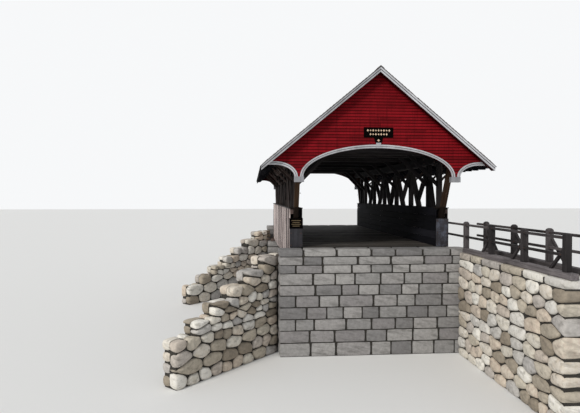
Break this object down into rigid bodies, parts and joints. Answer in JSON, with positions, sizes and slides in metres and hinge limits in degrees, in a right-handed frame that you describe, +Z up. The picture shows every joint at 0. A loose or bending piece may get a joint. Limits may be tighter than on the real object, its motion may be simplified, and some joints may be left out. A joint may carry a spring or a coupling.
{
  "type": "covered bridge",
  "caption": "Small wooden covered bridge with red lapped-board gables, white arch trim, open timber trusses, stone abutments and an approach rail.",
  "frame": {"origin": "on the ground plane under the foot of the masonry, at the centre of the whole part's outline", "axes": "+Z up, +Y along the road from the near portal to the far portal, +X to the right of someone who walks that way"},
  "size_m": [15.2292, 20.72, 9.4819],
  "materials": {
    "fieldstone": "rough split faces, dry laid",
    "cut_stone": "weathered grey blocks",
    "dark_timber": "old dark timber",
    "brown_post": "red-brown stain",
    "deck_planks": "worn planks",
    "weathered_boards": "bare boards, weathered grey and pink",
    "red_paint": "deep red paint on lapped boards",
    "white_trim": "white paint",
    "shingles": "weathered wood shingles",
    "grey_panel": "grey paint",
    "black_board": "black paint",
    "rail_timber": "weathered dark timber"
  },
  "bodies": {
    "root": {"far_left_wing_wall": "fieldstone", "far_right_wing_wall": "fieldstone", "near_left_wing_wall": "fieldstone", "approach_wall": "fieldstone", "near_abutment": "cut_stone", "far_abutment": "cut_stone", "bed_timbers": "dark_timber", "left_bottom_chord": "dark_timber", "right_bottom_chord": "dark_timber", "left_top_chord": "dark_timber", "right_top_chord": "dark_timber", "left_truss_posts": "dark_timber", "right_truss_posts": "dark_timber", "left_main_braces": "dark_timber", "right_main_braces": "dark_timber", "left_counter_braces": "dark_timber", "right_counter_braces": "dark_timber", "floor_beams": "dark_timber", "tie_beams": "dark_timber", "knee_braces": "dark_timber", "lateral_braces": "dark_timber", "wall_plates": "dark_timber", "rafters": "dark_timber", "ridge_board": "dark_timber", "left_eave_struts": "dark_timber", "right_eave_struts": "dark_timber", "left_side_girt": "dark_timber", "right_side_girt": "dark_timber", "left_inner_boarding": "dark_timber", "right_inner_boarding": "dark_timber", "left_end_posts": "brown_post", "right_end_posts": "brown_post", "left_end_boxes": "brown_post", "right_end_boxes": "brown_post", "floor_deck": "deck_planks", "left_outer_boarding": "weathered_boards", "right_outer_boarding": "weathered_boards", "near_gable_wall": "red_paint", "far_gable_wall": "red_paint", "near_rake_soffits": "red_paint", "far_rake_soffits": "red_paint", "near_arch_trim": "white_trim", "far_arch_trim": "white_trim", "portal_capitals": "white_trim", "near_rake_boards": "white_trim", "far_rake_boards": "white_trim", "left_roof_slope": "shingles", "right_roof_slope": "shingles", "guard_panels": "grey_panel", "name_board": "black_board", "notice_board": "black_board", "rail_sills": "rail_timber", "rail_posts": "rail_timber", "rails": "rail_timber", "rail_braces": "rail_timber"}
  },
  "joints": []
}
